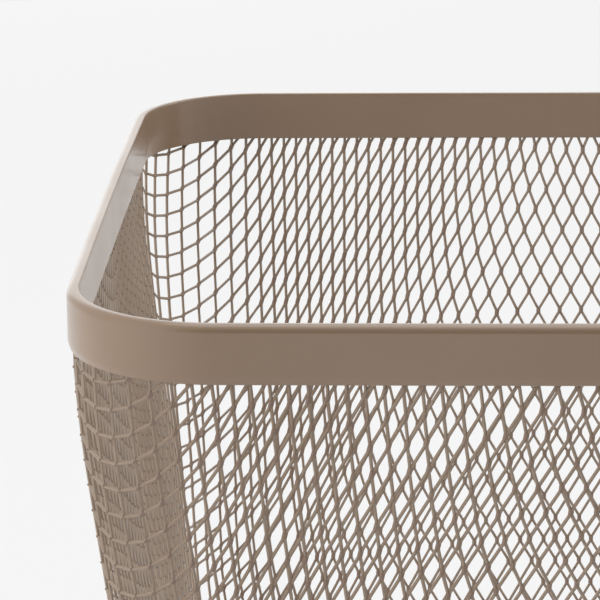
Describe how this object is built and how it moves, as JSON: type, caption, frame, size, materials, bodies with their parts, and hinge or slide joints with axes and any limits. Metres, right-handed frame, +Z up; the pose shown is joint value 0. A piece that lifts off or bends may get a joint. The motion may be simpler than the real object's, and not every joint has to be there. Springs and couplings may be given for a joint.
{
  "type": "wire locker basket",
  "caption": "Square open-top basket drawn from expanded metal mesh, with a folded sheet steel rim, for storing things on a shelf or in a locker.",
  "frame": {"origin": "centre of the basket's bounding box, on the plane that it stands on", "axes": "+Z up, +X along the front from left to right, -Y towards the front"},
  "size_m": [0.25, 0.25, 0.18],
  "materials": {
    "rim_coat": "smooth satin powder coat",
    "mesh_coat": "satin powder coat, pooled a little in the crotches of the mesh",
    "weld_steel": "bare, hidden inside the rim"
  },
  "bodies": {
    "root": {"back_heel_mesh": "mesh_coat", "back_left_corner_mesh": "mesh_coat", "back_left_heel_corner_mesh": "mesh_coat", "back_right_corner_mesh": "mesh_coat", "back_right_heel_corner_mesh": "mesh_coat", "back_wall_mesh": "mesh_coat", "base_mesh": "mesh_coat", "front_heel_mesh": "mesh_coat", "front_left_corner_mesh": "mesh_coat", "front_left_heel_corner_mesh": "mesh_coat", "front_right_corner_mesh": "mesh_coat", "front_right_heel_corner_mesh": "mesh_coat", "front_wall_mesh": "mesh_coat", "left_heel_mesh": "mesh_coat", "left_wall_mesh": "mesh_coat", "right_heel_mesh": "mesh_coat", "right_wall_mesh": "mesh_coat", "rim_channel": "rim_coat", "rim_spot_welds": "weld_steel"}
  },
  "joints": []
}
